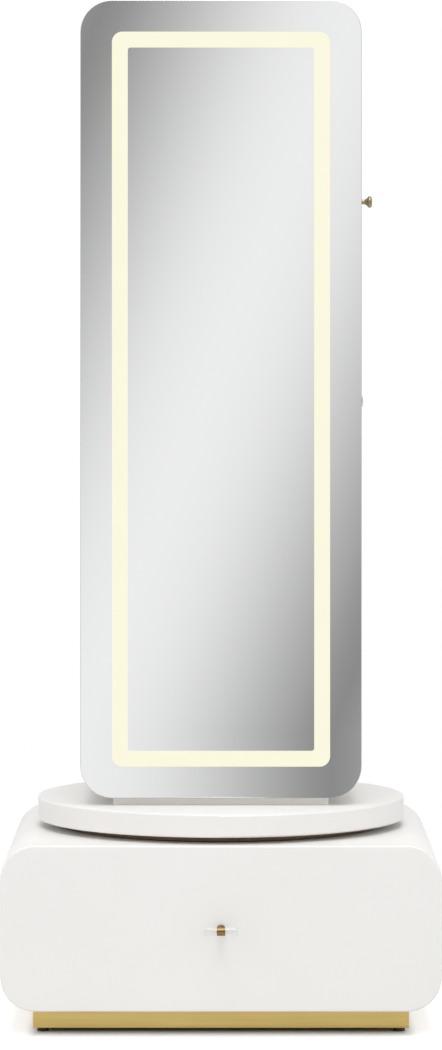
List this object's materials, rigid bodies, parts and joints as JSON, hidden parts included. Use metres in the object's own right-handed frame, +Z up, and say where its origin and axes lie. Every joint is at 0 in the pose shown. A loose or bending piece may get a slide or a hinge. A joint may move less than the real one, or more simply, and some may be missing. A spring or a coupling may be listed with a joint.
{
  "type": "rotating full-length mirror cabinet",
  "caption": "Full-length mirror cabinet that turns on a round turntable: lit mirror door with side knob and lock, over a base with a drawer and a brass plinth.",
  "frame": {"origin": "on the floor, under the middle of the part's width and of its depth with the drawer pull", "axes": "+Z up, the mirror and the drawer face -Y, the knob and the lock are on +X"},
  "size_m": [0.68, 0.6484, 1.603],
  "materials": {
    "white_lacquer": "satin white lacquer on board",
    "drawer_board": "pale foil on board",
    "foot_lacquer": "satin warm grey lacquer on board",
    "brass_facing": "board faced in satin brass foil",
    "bare_board": "bare fibreboard",
    "dark_glide": "matte",
    "zinc_steel": "zinc plated",
    "bearing_metal": "satin",
    "cage_plastic": "matte",
    "brass": "satin",
    "antique_brass": "antique",
    "clear_acrylic": "clear polished",
    "mirror": "polished",
    "lit_diffuser": "frosted, lit",
    "led_board": "matte",
    "black_plastic": "matte",
    "grey_plastic": "matte",
    "lock_chrome": "polished"
  },
  "bodies": {
    "base": {"floor_glides": "dark_glide", "plinth_front": "brass_facing", "plinth_back": "brass_facing", "plinth_left": "brass_facing", "plinth_right": "brass_facing", "base_shell": "white_lacquer", "base_back_panel": "white_lacquer", "slide_cabinet_members": "zinc_steel", "bearing_base_ring": "bearing_metal"},
    "slide_middle": {"slide_middle_members": "zinc_steel"},
    "drawer": {"drawer_front": "white_lacquer", "drawer_inner_front": "drawer_board", "drawer_side_left": "drawer_board", "drawer_side_right": "drawer_board", "drawer_back_wall": "drawer_board", "drawer_bottom": "drawer_board", "slide_drawer_members": "zinc_steel", "pull_post": "brass", "pull_rod_left": "clear_acrylic", "pull_rod_right": "clear_acrylic", "pull_screw": "zinc_steel"},
    "ball_cage": {"bearing_cage": "cage_plastic", "bearing_balls": "zinc_steel"},
    "turntable": {"bearing_top_ring": "bearing_metal", "turntable_disc": "white_lacquer", "turntable_skirt": "bare_board", "cabinet_foot": "foot_lacquer", "foot_bolts": "zinc_steel", "case_shell": "white_lacquer", "case_back_panel": "white_lacquer", "shelf_lower": "white_lacquer", "shelf_middle": "white_lacquer", "shelf_upper": "white_lacquer", "shelf_pins": "zinc_steel", "hook_rail": "drawer_board", "necklace_hooks": "brass", "hinge_case_leaves": "zinc_steel", "hinge_pins": "zinc_steel", "magnet_catch": "grey_plastic", "lock_barrel": "lock_chrome", "lock_nut": "zinc_steel"},
    "door": {"door_frame": "white_lacquer", "door_back_panel": "white_lacquer", "mirror_glass": "mirror", "light_band": "lit_diffuser", "led_strip": "led_board", "battery_pack": "black_plastic", "charge_port": "black_plastic", "touch_sensor": "black_plastic", "hinge_door_leaves": "zinc_steel", "side_knob": "antique_brass", "catch_plate": "zinc_steel", "lock_keeper": "zinc_steel"},
    "lock": {"lock_plug": "lock_chrome", "lock_cam": "zinc_steel", "lock_cam_screw": "zinc_steel"}
  },
  "joints": [
    {"name": "turntable_spin", "type": "hinge", "parent": "base", "child": "turntable", "pos_m": [0, 0.01823, 0.303], "axis": [0, 0, 1], "continuous": true},
    {"name": "ball_cage_spin", "type": "hinge", "parent": "base", "child": "ball_cage", "pos_m": [0, 0.01823, 0.29775], "axis": [0, 0, 1], "continuous": true},
    {"name": "drawer_slide", "type": "slide", "parent": "base", "child": "drawer", "axis": [0, -1, 0], "range_m": [0, 0.4]},
    {"name": "slide_middle_travel", "type": "slide", "parent": "base", "child": "slide_middle", "axis": [0, -1, 0], "range_m": [0, 0.2]},
    {"name": "door_swing", "type": "hinge", "parent": "turntable", "child": "door", "pos_m": [-0.21605, -0.10477, 0.97675], "axis": [0, 0, -1], "range_deg": [0, 110]},
    {"name": "lock_turn", "type": "hinge", "parent": "turntable", "child": "lock", "pos_m": [0.21925, -0.07278, 0.97175], "axis": [-1, 0, 0], "range_deg": [0, 90]}
  ],
  "couplings": [
    {"joint": "ball_cage_spin", "follows": "turntable_spin", "ratio": 0.5},
    {"joint": "slide_middle_travel", "follows": "drawer_slide", "ratio": 0.5}
  ]
}
